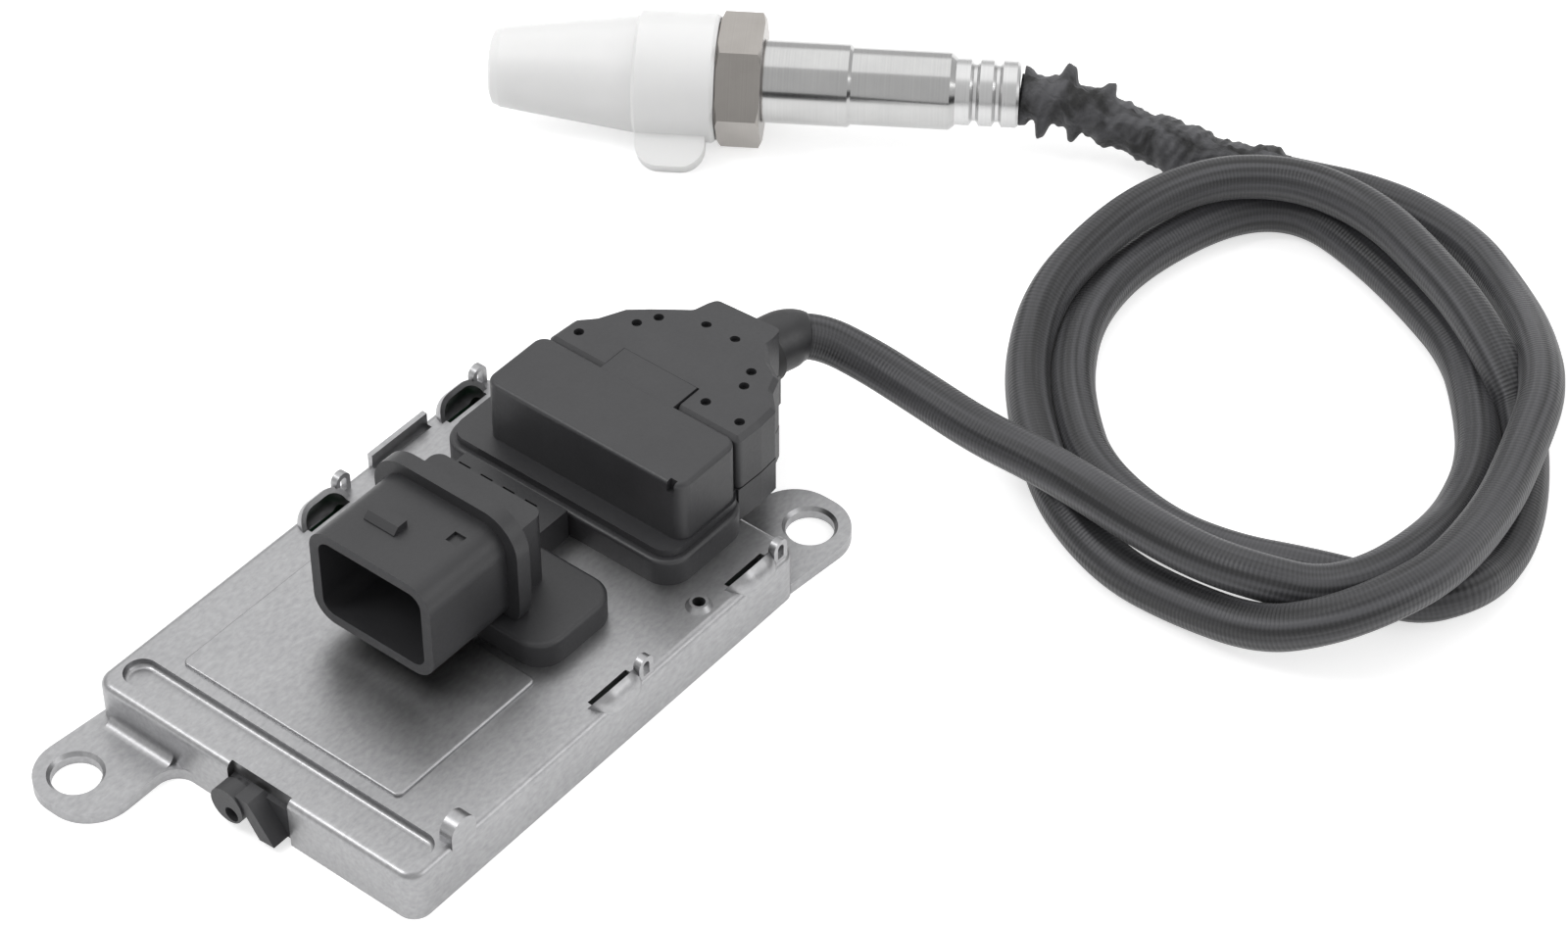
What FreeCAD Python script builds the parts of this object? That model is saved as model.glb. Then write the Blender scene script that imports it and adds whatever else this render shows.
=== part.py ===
import FreeCAD, Part
import math
import os
from FreeCAD import Vector

# Nitrogen oxide sensor: flat control module with two mounting ears, a multi-pin socket, a cable hood,
# a coiled lead and a screw-in exhaust probe with its transport cap. Millimetres, +Z up.
# The origin is the centre of the module's underside; +X points to the cable hood, -X to the socket's mouth.

os.makedirs("parts", exist_ok=True)

# Control module: pressed aluminium cover
case_length = 95.0
case_width = 69.6
case_height = 10.0
sheet = 1.5
corner_radius = 3.2
edge_radius = 1.4
channel_start = 3.0
channel_width = 6.1
channel_depth = 1.6
channel_round = 3.0
channel_fillet = 0.9
channel_margin = 2.0
land_height = 0.6
land_front = 11.5
land_step = 44.4
land_back = 63.5
land_near = 21.3
land_far = 26.0
notch_near = 8.1
notch_far = 4.9
notch_depth = 1.3

# Mounting ears
ear_thickness = 2.2
ear_reach = 18.8
ear_hole_reach = 11.6
ear_hole_side = 28.0
ear_hole_radius = 4.2
ear_hole_bevel = 0.6
ear_near_side = 17.4
ear_far_side = 36.2
ear_root_setback = 0.6
ear_tip_radius = 8.0
ear_root_radius = 4.0
ear_bend_radius = 2.0

# Lanced louvres, horns and small marks of the press tool
louvre_length = 11.5
louvre_bulge = 4.2
louvre_wall = 1.0
louvre_side = 31.3
louvre_lean = 35.0
louvre_far_places = (4.2, 38.7)
louvre_near_places = (3.2, 37.7)
horn_width = 3.4
horn_thickness = 1.3
horn_height = 4.2
horn_offset = 5.7
horn_side = 33.0
horn_eye = 0.75
corner_horn_place = 12.0
corner_horn_width = 5.6
corner_horn_height = 4.2
dimple_place = 26.6
dimple_side = 30.6
dimple_radius = 2.3
dimple_hole_radius = 1.1
dimple_height = 0.9
hem_slot_start = 17.5
hem_slot_length = 13.8
hem_slot_width = 1.0
hem_slot_side = 33.5
hem_slot_depth = 0.8
hem_lip_height = 2.6
hem_lip_thickness = 1.0

# Inside of the module
plate_thickness = 1.5
plate_gap = 0.1
post_radius = 2.4
post_height = 2.0
post_inset = 6.5
board_thickness = 1.6
board_gap = 1.2
chip_size = 14.0
chip_height = 1.5
chip_place = 30.0
power_chip_size = 9.0
power_chip_places = (28.5, 40.5)
power_chip_side = 0.42
power_chip_height = 2.2
can_radius = 2.6
can_height = 2.8
can_place = 44.5
choke_size = 7.0
choke_height = 2.8
choke_place = 19.5

# Socket for the vehicle harness
mouth_place = 31.0
shell_back = 49.0
shell_width = 26.0
shell_middle = 1.3
shell_bottom = 14.0
shell_height = 19.6
shell_wall = 2.0
shell_radius = 4.5
shell_depth = 15.5
flange_thickness = 3.0
flange_margin = 2.4
foot_front = 46.0
foot_back = 65.0
foot_near = 21.5
foot_far = 19.0
foot_height = 5.0
foot_radius = 5.0
deck_near = 3.5
deck_gap = 0.4
deck_height = 6.2
pocket_size = 2.6
pocket_depth = 4.0
pocket_pitch = 4.9
pocket_count = 4
pocket_inset = 2.3
pocket_margin = 1.9
rib_thickness = 1.4
rib_length = 6.0
rib_height = 14.0
rib_places = (-9.5, -6.6, -3.7)
window_length = 12.0
window_width = 24.0
window_middle = 57.0
spigot_gap = 0.25
seal_width = 1.4
seal_depth = 1.0
seal_gap = 0.05
lug_front = 37.6
lug_length = 3.2
lug_width = 6.5
lug_middle = 3.6
lug_height = 1.3
recess_place = 43.5
recess_side = 7.6
recess_size = 2.4
recess_depth = 0.6
pin_count = 5
pin_pitch = 4.0
pin_width = 1.5
pin_thickness = 0.8
pin_reach = 8.0
pin_drop_place = 57.0

# Cable hood and its clamp cover
skirt_front = 73.3
skirt_back = 94.2
skirt_near = 25.4
skirt_far = 26.0
skirt_height = 5.2
skirt_step_height = 1.5
skirt_step = 1.3
skirt_radius = 5.0
hood_front = 78.2
hood_near = 23.7
hood_far = 19.0
hood_top = 29.0
hood_radius = 2.4
hood_edge = 0.8
split_place = 93.4
split_gap = 0.3
tongue_near = 10.0
tongue_far = 5.8
tongue_length = 5.5
nose_place = 120.5
nose_side = 4.5
nose_half_width = 7.0
clamp_bottom = 17.6
clamp_edge = 0.9
tray_bottom = 10.4
slope_start = 8.5
clamp_dot_radius = 0.9
clamp_dot_depth = 1.2
clamp_dot_places = ((23.0, 14.7), (15.1, 8.6), (11.7, 6.6), (8.0, -0.8), (7.8, -6.9), (12.6, -14.3), (16.1, -15.6),
                    (23.1, -13.1), (23.4, -20.6))
grommet_radius = 6.2
grommet_length = 9.0
grommet_proud = 1.5
terminal_count = 8
terminal_pitch = 4.6
terminal_width = 1.2
terminal_thickness = 0.6
terminal_place = 85.0
hood_window_length = 8.0
hood_window_width = 40.0

# Black clip in the notch of the front edge
clip_wall = 1.0
clip_reach = 5.0
clip_arm = 3.4
clip_bottom = 1.2
clip_top = 7.5
clip_gap = 0.3
lobe_radius = 3.4
lobe_side = 2.1
lobe_height = 5.2
eye_radius = 1.4

# Cable
cable_radius = 4.0
cable_height = 18.0
boot_radius = 5.6
boot_gap = 0.1
lead_sleeve_radius = 5.0
lead_straight = 7.0
coil_height = 16.6
coil_edge = 3.6
coil_outer = ((77.4, -86), (83.5, -58), (100, -38), (127, -24), (154, -26), (181, -31), (192, -46), (195, -66),
              (186, -92), (162, -113), (134, -127), (105, -128), (83.5, -111))
coil_inner = ((100, -78), (106, -57), (121, -42), (146, -37), (166, -42), (173, -54), (168, -73), (156, -93),
              (139, -105), (118, -110), (104.5, -98))

# Probe, lying beside the module; distances along it count from the nut's middle, cable end positive
probe_place = (136.7, 50.0)
probe_turn = -56.2
cap_radius = 12.0
nut_flats = 22.0
nut_half_length = 4.1
nut_bevel = 1.2
thread_radius = 10.0
thread_length = 13.4
body_radius = 7.3
running_gap = 0.06
body_front = -21.5
body_back = 8.0
body_bore = 5.0
collar_radius = 8.8
collar_length = 3.6
seat_gap = 0.3
guard_radius = 4.95
guard_front = -40.3
guard_wall = 0.5
guard_hole_radius = 0.9
guard_hole_count = 6
liner_radius = 3.4
liner_front = -38.0
element_width = 4.0
element_thickness = 1.6
element_front = -36.0
element_back = 22.0
packing_front = -8.0
packing_back = -3.0
bush_front = -17.0
bush_back = 6.0
holder_radius = 5.8
holder_front = 9.0
holder_back = 30.0
spring_width = 1.2
spring_thickness = 0.4
sleeve_front = 4.4
sleeve_back = 39.8
sleeve_radius = 7.75
sleeve_rear_radius = 7.25
sleeve_step = 20.0
sleeve_wall = 0.5
ferrule_radius = 6.2
ferrule_wall = 0.5
ferrule_back = 51.6
ferrule_neck = 4.0
crimp_places = (43.4, 47.6)
crimp_depth = 0.9
crimp_half_width = 0.9
cap_front = -47.0
cap_tip_radius = 7.5
cap_shoulder = -19.7
cap_shoulder_radius = 10.9
cap_back = -4.4
cap_wall = 1.2
cap_gap = 0.15
cap_tip_round = 2.0
wing_reach = 18.0
wing_front = -19.0
wing_back = -6.0
wing_thickness = 4.0
wing_round = 4.5
wing_angle = 35.0

# Values that follow
front = -case_length / 2
side = case_width / 2
board_bottom = plate_thickness + post_height
board_top = board_bottom + board_thickness
ceiling = case_height - sheet
nose_x = front + nose_place
probe_height = cap_radius


def save(shape, name):
    shape.exportStep("parts/%s.step" % name)


def box(x0, x1, y0, y1, z0, z1):
    return Part.makeBox(x1 - x0, y1 - y0, z1 - z0, Vector(x0, y0, z0))


def upright_edges(shape):
    """Edges that run straight up."""
    found = []
    for edge in shape.Edges:
        a = edge.Vertexes[0].Point
        b = edge.Vertexes[-1].Point
        if abs(a.x - b.x) < 1e-6 and abs(a.y - b.y) < 1e-6 and abs(a.z - b.z) > 1e-6:
            found.append(edge)
    return found


def rounded_box(x0, x1, y0, y1, z0, z1, radius):
    block = box(x0, x1, y0, y1, z0, z1)
    return block.makeFillet(radius, upright_edges(block))


def edges_at_height(shape, z):
    """Edges that lie wholly in the level plane z."""
    found = []
    for edge in shape.Edges:
        bounds = edge.BoundBox
        if abs(bounds.ZMin - z) < 1e-6 and abs(bounds.ZMax - z) < 1e-6:
            found.append(edge)
    return found


def polygon(points, z0, z1):
    wire = Part.makePolygon([Vector(x, y, z0) for x, y in points] + [Vector(points[0][0], points[0][1], z0)])
    return Part.Face(wire).extrude(Vector(0, 0, z1 - z0))


def turned(profile):
    """Solid of revolution about the X axis from (x, radius) points."""
    wire = Part.makePolygon([Vector(x, 0, r) for x, r in profile] + [Vector(profile[0][0], 0, profile[0][1])])
    return Part.Face(wire).revolve(Vector(0, 0, 0), Vector(1, 0, 0), 360)


def rod(x0, x1, radius):
    return Part.makeCylinder(radius, x1 - x0, Vector(x0, 0, 0), Vector(1, 0, 0))


def half_turn(shape):
    turned_copy = shape.copy()
    turned_copy.rotate(Vector(0, 0, 0), Vector(0, 0, 1), 180)
    return turned_copy


def mirrored(shape):
    return shape.mirror(Vector(0, 0, 0), Vector(0, 1, 0))


# Cover of the module

def ear():
    """Front ear with its countersunk hole, concave root and bend against the front wall."""
    tip = front - ear_reach
    root = front + corner_radius
    plate = polygon([(tip, ear_near_side), (root, ear_near_side), (root, side - ear_root_setback),
                     (tip, ear_far_side)], 0, ear_thickness)
    plate = plate.cut(box(front + sheet, root + 1, 0, side + 1, -1, ear_thickness + 1))
    tip_edges = [edge for edge in upright_edges(plate) if abs(edge.Vertexes[0].Point.x - tip) < 1e-6]
    plate = plate.makeFillet(ear_tip_radius, tip_edges)
    root = box(front - ear_root_radius, front + sheet, ear_near_side - ear_root_radius, ear_near_side,
               0, ear_thickness)
    root_round = Part.makeCylinder(ear_root_radius, ear_thickness,
                                   Vector(front - ear_root_radius, ear_near_side - ear_root_radius, 0))
    plate = plate.fuse(root.cut(root_round))
    bend = box(front - ear_bend_radius, front + edge_radius, ear_near_side, side - corner_radius,
               ear_thickness, ear_thickness + ear_bend_radius)
    bend_round = Part.makeCylinder(ear_bend_radius, case_width,
                                   Vector(front - ear_bend_radius, 0, ear_thickness + ear_bend_radius),
                                   Vector(0, 1, 0))
    plate = plate.fuse(bend.cut(bend_round))
    hole_place = Vector(front - ear_hole_reach, ear_hole_side, 0)
    hole = Part.makeCylinder(ear_hole_radius, ear_thickness, hole_place)
    bevel = Part.makeCone(ear_hole_radius, ear_hole_radius + ear_hole_bevel, ear_hole_bevel,
                          hole_place + Vector(0, 0, ear_thickness - ear_hole_bevel))
    return plate.cut(hole).cut(bevel)


def case_block(inset, top):
    """The cover's outer block, or its inner space when inset by the sheet."""
    block = rounded_box(front + inset, -front - inset, -side + inset, side - inset, 0, top,
                        corner_radius - inset)
    block = block.makeFillet(edge_radius - inset / 2, edges_at_height(block, top))
    return block


def channel(grow):
    """Pressed groove behind the front edge; grown by the sheet it is the groove's underside."""
    x0 = front + channel_start - grow
    x1 = front + channel_start + channel_width + grow
    y0 = -side + channel_margin - grow
    y1 = side - channel_margin + grow
    z0 = case_height - channel_depth - grow
    groove = rounded_box(x0, x1, y0, y1, z0, case_height + 1, channel_round)
    return groove.makeFillet(channel_fillet, edges_at_height(groove, z0))


def land():
    """Low raised land of the plateau, stepped on the near side in front of the socket's foot."""
    points = [(front + land_front, -land_near), (front + land_step, -land_near), (front + land_step, -foot_near / 3),
              (front + land_back, -foot_near / 3), (front + land_back, land_far), (front + land_front, land_far)]
    block = polygon(points, case_height - sheet / 2, case_height + land_height)
    block = block.makeFillet(1.2, upright_edges(block))
    return block.makeFillet(land_height * 0.6, edges_at_height(block, case_height + land_height))


def capsule(length, radius):
    """Rod with round ends along X; its seam points down and inwards."""
    end = length / 2
    turn = end - radius
    slant = radius / math.sqrt(2)
    first = Part.Arc(Vector(-end, 0, 0), Vector(-turn - slant, slant, 0), Vector(-turn, radius, 0)).toShape()
    middle = Part.LineSegment(Vector(-turn, radius, 0), Vector(turn, radius, 0)).toShape()
    last = Part.Arc(Vector(turn, radius, 0), Vector(turn + slant, slant, 0), Vector(end, 0, 0)).toShape()
    chord = Part.LineSegment(Vector(end, 0, 0), Vector(-end, 0, 0)).toShape()
    rounded = Part.Face(Part.Wire([first, middle, last, chord])).revolve(Vector(0, 0, 0), Vector(1, 0, 0), 360)
    rounded.rotate(Vector(0, 0, 0), Vector(1, 0, 0), 185)
    return rounded


def louvre(place):
    """Shell and hollow of one far-side louvre; its mouth faces the centre line and leans outwards."""
    centre = Vector(place, louvre_side, case_height - 0.4)
    shell = capsule(louvre_length, louvre_bulge)
    hollow = capsule(louvre_length - 2 * louvre_wall, louvre_bulge - louvre_wall)
    shell.translate(centre)
    hollow.translate(centre)
    behind_mouth = box(place - louvre_length, place + louvre_length, louvre_side, side + 2 * louvre_bulge,
                       -case_height, 3 * case_height)
    behind_mouth.rotate(centre, Vector(1, 0, 0), -louvre_lean)
    above = box(place - louvre_length, place + louvre_length, louvre_side - 2 * louvre_bulge,
                side + louvre_bulge, ceiling, case_height + louvre_bulge)
    reach = box(place - louvre_length, place + louvre_length, louvre_side - 0.6, side - 0.3,
                ceiling - 1, case_height + louvre_bulge)
    return shell.common(behind_mouth).common(above), hollow.common(reach)


def arch(place, half_width, y0, thickness, bottom, top):
    """Upright slab with a round top."""
    stem = box(place - half_width, place + half_width, y0, y0 + thickness, bottom, top - half_width)
    head = Part.makeCylinder(half_width, thickness, Vector(place, y0, top - half_width), Vector(0, 1, 0))
    return stem.fuse(head)


def horn(place):
    """Small upright loop at the end of a far-side louvre."""
    top = case_height + horn_height
    loop = arch(place, horn_width / 2, horn_side, horn_thickness, ceiling + 0.3, top)
    eye = arch(place, horn_eye, horn_side - 1, horn_thickness + 2, case_height + 0.4, top - horn_width / 2 + horn_eye)
    return loop.cut(eye)


def with_louvre(cover, place, near):
    """The cover with one louvre and its horn, on the near side where asked."""
    shell, hollow = louvre(place)
    pieces = [shell, horn(place + horn_offset), hollow]
    if near:
        pieces = [mirrored(piece) for piece in pieces]
    return cover.fuse(pieces[0]).fuse(pieces[1]).cut(pieces[2])


def window(middle, length, width, y_middle):
    x0 = front + middle - length / 2
    return rounded_box(x0, x0 + length, y_middle - width / 2, y_middle + width / 2,
                       ceiling - 2, case_height + 2, 1.5)


def housing_cover():
    outer = case_block(0, case_height)
    inner = case_block(sheet, ceiling)
    notch = box(front - 1, front + notch_depth, -notch_near, notch_far, -1, case_height + 1)
    notch_back = box(front, front + notch_depth + sheet, -notch_near - sheet, notch_far + sheet, -1, case_height)
    outer = outer.cut(notch)
    outer = outer.fuse(land())
    outer = outer.cut(channel(0))
    inner = inner.cut(channel(sheet))
    inner = inner.cut(notch_back)
    cover = outer.cut(inner)
    cover = cover.fuse(ear())
    cover = cover.fuse(half_turn(ear()))
    for place in louvre_far_places:
        cover = with_louvre(cover, place, False)
    for place in louvre_near_places:
        cover = with_louvre(cover, place, True)
    corner_horn = arch(front + corner_horn_place, corner_horn_width / 2, horn_side - 0.9, 2 * horn_thickness,
                       ceiling + 0.3, case_height + corner_horn_height)
    lip = box(hem_slot_start, hem_slot_start + hem_slot_length, hem_slot_side, hem_slot_side + hem_lip_thickness,
              ceiling + 0.3, case_height + hem_lip_height)
    boss = Part.makeCone(dimple_radius, dimple_radius - 0.7, dimple_height,
                         Vector(dimple_place, -dimple_side, case_height))
    cover = cover.fuse(mirrored(corner_horn)).fuse(lip).fuse(boss)
    hem = box(hem_slot_start, hem_slot_start + hem_slot_length, hem_slot_side - hem_slot_width, hem_slot_side,
              case_height - hem_slot_depth, case_height + 1)
    hole = Part.makeCylinder(dimple_hole_radius, 6, Vector(dimple_place, -dimple_side, ceiling - 1))
    cover = cover.cut(hem).cut(hole)
    cover = cover.cut(window(window_middle, window_length, window_width, 0))
    cover = cover.cut(window(terminal_place, hood_window_length, hood_window_width, 0))
    return cover.removeSplitter()


# Inside the module

def base_plate():
    inset = sheet + plate_gap
    plate = rounded_box(front + inset, -front - inset, -side + inset, side - inset, 0, plate_thickness,
                        corner_radius - sheet)
    relief = box(front, front + notch_depth + sheet + plate_gap, -notch_near - sheet - plate_gap,
                 notch_far + sheet + plate_gap, -1, plate_thickness + 1)
    plate = plate.cut(relief)
    posts = []
    for x in (front + 2 * post_inset, -front - post_inset):
        for y in (-side + post_inset, side - post_inset):
            posts.append(Part.makeCylinder(post_radius, post_height + 0.5, Vector(x, y, plate_thickness - 0.5)))
    return plate.fuse(posts).removeSplitter()


def circuit_board():
    inset = sheet + board_gap
    board = rounded_box(front + notch_depth + inset, -front - inset, -side + inset, side - inset,
                        board_bottom, board_top, 3.0)
    holes = []
    for index in range(pin_count):
        y = (index - (pin_count - 1) / 2) * pin_pitch
        x = front + pin_drop_place
        holes.append(box(x - 0.6, x + 0.6, y - 0.95, y + 0.95, board_bottom - 1, board_top + 1))
    for index in range(terminal_count):
        y = (index - (terminal_count - 1) / 2) * terminal_pitch
        x = front + terminal_place
        holes.append(box(x - 0.5, x + 0.5, y - 0.8, y + 0.8, board_bottom - 1, board_top + 1))
    return board.cut(holes)


def board_block(place, y, size, height):
    x = front + place
    return rounded_box(x - size / 2, x + size / 2, y - size / 2, y + size / 2, board_top, board_top + height, 0.4)


def controller_chip():
    return board_block(chip_place, -0.3 * side, chip_size, chip_height)


def power_chips():
    y = power_chip_side * side
    return Part.Compound([board_block(place, y, power_chip_size, power_chip_height)
                          for place in power_chip_places])


def heat_pads():
    half = power_chip_size / 2
    y = power_chip_side * side
    pads = []
    for place in power_chip_places:
        x = front + place
        pads.append(box(x - half, x + half, y - half, y + half, board_top + power_chip_height, ceiling))
    return Part.Compound(pads)


def capacitors():
    cans = []
    for y in (-0.72 * side, -0.5 * side, 0.75 * side):
        can = Part.makeCylinder(can_radius, can_height, Vector(front + can_place, y, board_top))
        cans.append(can.makeFillet(0.4, edges_at_height(can, board_top + can_height)))
    return Part.Compound(cans)


def choke():
    return board_block(choke_place, 0.63 * side, choke_size, choke_height)


# Socket

def shell_block(x0, x1, grow):
    y0 = shell_middle - shell_width / 2 - grow
    y1 = shell_middle + shell_width / 2 + grow
    block = box(x0, x1, y0, y1, shell_bottom - grow, shell_bottom + shell_height + grow)
    along = []
    for edge in block.Edges:
        a = edge.Vertexes[0].Point
        b = edge.Vertexes[-1].Point
        if abs(a.y - b.y) < 1e-6 and abs(a.z - b.z) < 1e-6:
            along.append(edge)
    return block.makeFillet(shell_radius + grow, along)


def socket_pin_paths():
    """Middle line of each pin: out of the socket's floor, back and down into the board."""
    paths = []
    z = shell_bottom + shell_height / 2
    for index in range(pin_count):
        y = (index - (pin_count - 1) / 2) * pin_pitch
        paths.append((y, z))
    return paths


def pin_space(grow):
    spaces = []
    x0 = front + mouth_place + shell_depth - pin_reach
    x1 = front + pin_drop_place
    for y, z in socket_pin_paths():
        level = box(x0 - grow, x1 + pin_thickness / 2 + grow, y - pin_width / 2 - grow, y + pin_width / 2 + grow,
                    z - pin_thickness / 2 - grow, z + pin_thickness / 2 + grow)
        drop = box(x1 - pin_thickness / 2 - grow, x1 + pin_thickness / 2 + grow, y - pin_width / 2 - grow,
                   y + pin_width / 2 + grow, board_bottom - 0.5, z)
        spaces.append(level.fuse(drop).removeSplitter())
    return spaces


def connector_header(cover):
    x_mouth = front + mouth_place
    x_back = front + shell_back
    shell = shell_block(x_mouth, x_back + flange_thickness, 0)
    flange = shell_block(x_back, x_back + flange_thickness, flange_margin)
    foot = rounded_box(front + foot_front, front + foot_back, -foot_near, foot_far, case_height,
                       case_height + foot_height, foot_radius)
    foot = foot.makeFillet(0.8, edges_at_height(foot, case_height + foot_height))
    deck = box(x_back, front + skirt_front - deck_gap, -deck_near, foot_far, case_height, case_height + deck_height)
    stem = box(x_back - 1.0, x_back + 11.0, shell_middle - shell_width / 2 + 1.5, shell_middle + shell_width / 2 - 1.5,
               case_height + 1, shell_bottom + shell_height - 4.0)
    stem = stem.makeFillet(2.0, upright_edges(stem))
    spigot = rounded_box(front + window_middle - window_length / 2 + spigot_gap,
                         front + window_middle + window_length / 2 - spigot_gap,
                         -window_width / 2 + spigot_gap, window_width / 2 - spigot_gap,
                         ceiling - 0.5, case_height + 1, 1.25)
    ribs = []
    for y in rib_places:
        ribs.append(box(x_back + flange_thickness - 0.5, x_back + flange_thickness + rib_length, y - rib_thickness / 2,
                        y + rib_thickness / 2, case_height + 2, case_height + rib_height))
    lug = Part.makeBox(lug_length, lug_width, lug_height + 0.5,
                       Vector(front + lug_front, shell_middle + lug_middle - lug_width / 2,
                              shell_bottom + shell_height - 0.5))
    low_front = [edge for edge in lug.Edges if abs(edge.BoundBox.XMax - (front + lug_front)) < 1e-6
                 and abs(edge.BoundBox.ZMin - (shell_bottom + shell_height + lug_height)) < 1e-6]
    lug = lug.makeChamfer(1.1, low_front)
    header = shell.fuse([flange, foot, deck, stem, spigot, lug] + ribs)
    hollow = shell_block(x_mouth - 1, x_mouth + shell_depth, -shell_wall)
    recess_x = front + recess_place
    recess_y = shell_middle - recess_side
    recess = box(recess_x - recess_size / 2, recess_x + recess_size / 2, recess_y - recess_size / 2,
                 recess_y + recess_size / 2, shell_bottom + shell_height - recess_depth, shell_bottom + shell_height + 1)
    pockets = []
    for index in range(pocket_count):
        y = foot_far - pocket_margin - index * pocket_pitch
        x1 = front + skirt_front - deck_gap - pocket_inset
        pockets.append(box(x1 - pocket_size, x1, y - pocket_size / 2, y + pocket_size / 2,
                           case_height + deck_height - pocket_depth, case_height + deck_height + 1))
    header = header.cut([hollow, recess] + pockets + pin_space(0.0))
    header = header.cut(seal_ring_block(0.0))
    header = header.cut(cover)
    return header.removeSplitter()


def seal_ring_block(inset):
    """Ring in the foot's underside round the window."""
    half_x = window_length / 2 + 1.2
    half_y = window_width / 2 + 1.2
    x = front + window_middle
    top = case_height + land_height + seal_depth
    bottom = case_height
    outer = rounded_box(x - half_x - seal_width, x + half_x + seal_width, -half_y - seal_width,
                        half_y + seal_width, bottom, top, 2.5)
    inner = rounded_box(x - half_x, x + half_x, -half_y, half_y, bottom - 1, top + 1, 1.2)
    ring = outer.cut(inner)
    if inset:
        outer = rounded_box(x - half_x - seal_width + inset, x + half_x + seal_width - inset,
                            -half_y - seal_width + inset, half_y + seal_width - inset, bottom, top, 2.4)
        inner = rounded_box(x - half_x - inset, x + half_x + inset, -half_y - inset, half_y + inset,
                            bottom - 1, top + 1, 1.3)
        ring = outer.cut(inner)
    return ring


def header_seal(cover):
    return seal_ring_block(seal_gap).cut(cover)


def connector_pins():
    return Part.Compound(pin_space(0.0))


# Cable hood

def clamp_outline():
    """Plan of the nose, scalloped on both flanks, from the split to the cable exit."""
    far = hood_far
    near = -hood_near
    left = [(split_place - nose_place, far - 0.8), (-20.5, far - 1.3), (-17.9, far - 3.8), (-13.1, far - 6.1),
            (-10.3, far - 9.4), (-5.9, nose_half_width - nose_side + 1.4), (-1.0, nose_half_width - nose_side)]
    right = [(0.0, -nose_side - nose_half_width + 1.0), (-4.9, -nose_side - nose_half_width - 0.1), (-8.6, near + 8.5),
             (-10.5, near + 5.1), (-13.9, near + 3.7), (-17.1, near + 0.5), (-21.3, near + 0.2),
             (split_place - nose_place, near + 0.4)]
    return [(nose_x + a, b) for a, b in left + right]


def hood_tongue(z0, z1, grow):
    return box(front + split_place - 1.5, front + split_place + tongue_length + grow, -tongue_near - grow,
               tongue_far + grow, z0, z1)


def cable_bore(radius):
    return Part.makeCylinder(radius, 60, Vector(nose_x - 9.5, -nose_side, cable_height), Vector(1, 0, 0))


def cable_hood():
    x = front
    z0 = case_height
    skirt = rounded_box(x + skirt_front, x + skirt_back, -skirt_near, skirt_far, z0, z0 + skirt_height, skirt_radius)
    skirt = skirt.makeFillet(0.7, edges_at_height(skirt, z0 + skirt_height))
    z1 = z0 + skirt_height
    z2 = z1 + skirt_step_height
    step = rounded_box(x + skirt_front + skirt_step, x + skirt_back, -skirt_near + skirt_step,
                       skirt_far - skirt_step, z1 - 1, z2, skirt_radius - skirt_step)
    tower = rounded_box(x + hood_front, x + split_place - split_gap, -hood_near, hood_far, z1, hood_top, hood_radius)
    tower = tower.makeFillet(hood_edge, edges_at_height(tower, hood_top))
    tray = polygon(clamp_outline(), tray_bottom, clamp_bottom - split_gap)
    tray = tray.fuse(box(x + hood_front + 3, x + split_place + 1, -hood_near + 1, hood_far - 1, tray_bottom,
                         clamp_bottom - split_gap))
    hood = skirt.fuse([step, tower, tray, hood_tongue(clamp_bottom - 1, hood_top - 0.1, 0)])
    nick = box(x + hood_front - 1, x + hood_front + 1.2, -hood_near + 1.6, -hood_near + 3.0, hood_top - 2.2, hood_top + 1)
    spaces = [nick, cable_bore(grommet_radius)]
    for y in terminal_sides():
        spaces.append(terminal(y))
    return hood.cut(spaces).removeSplitter()


def terminal_sides():
    return [(index - (terminal_count - 1) / 2) * terminal_pitch for index in range(terminal_count)]


def terminal(y):
    x = front + terminal_place
    return box(x - terminal_thickness / 2, x + terminal_thickness / 2, y - terminal_width / 2, y + terminal_width / 2,
               board_bottom - 0.5, case_height + 9.0)


def hood_terminals():
    return Part.Compound([terminal(y) for y in terminal_sides()])


def clamp_cover():
    block = polygon(clamp_outline(), clamp_bottom, hood_top - 0.4)
    block = block.makeFillet(1.1, upright_edges(block))
    block = block.makeChamfer(clamp_edge, edges_at_height(block, hood_top - 0.4))
    spaces = [hood_tongue(clamp_bottom - 1, hood_top + 1, split_gap), cable_bore(grommet_radius)]
    slope = Part.makeBox(30, 30, 8, Vector(0, -15, 0))
    slope.rotate(Vector(0, 0, 0), Vector(0, 1, 0), 9)
    slope.translate(Vector(nose_x - slope_start, -nose_side, hood_top - 0.4))
    spaces.append(slope)
    for back, y in clamp_dot_places:
        spaces.append(Part.makeCylinder(clamp_dot_radius, clamp_dot_depth + 2,
                                        Vector(nose_x - back, y, hood_top - 0.4 - clamp_dot_depth)))
    return block.cut(spaces).removeSplitter()


def cable_grommet():
    x0 = nose_x - grommet_length
    ring = Part.makeCylinder(grommet_radius - 0.05, grommet_length + grommet_proud, Vector(x0, -nose_side, cable_height),
                             Vector(1, 0, 0))
    return ring.cut(cable_bore(cable_radius))


# Edge clip

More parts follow.
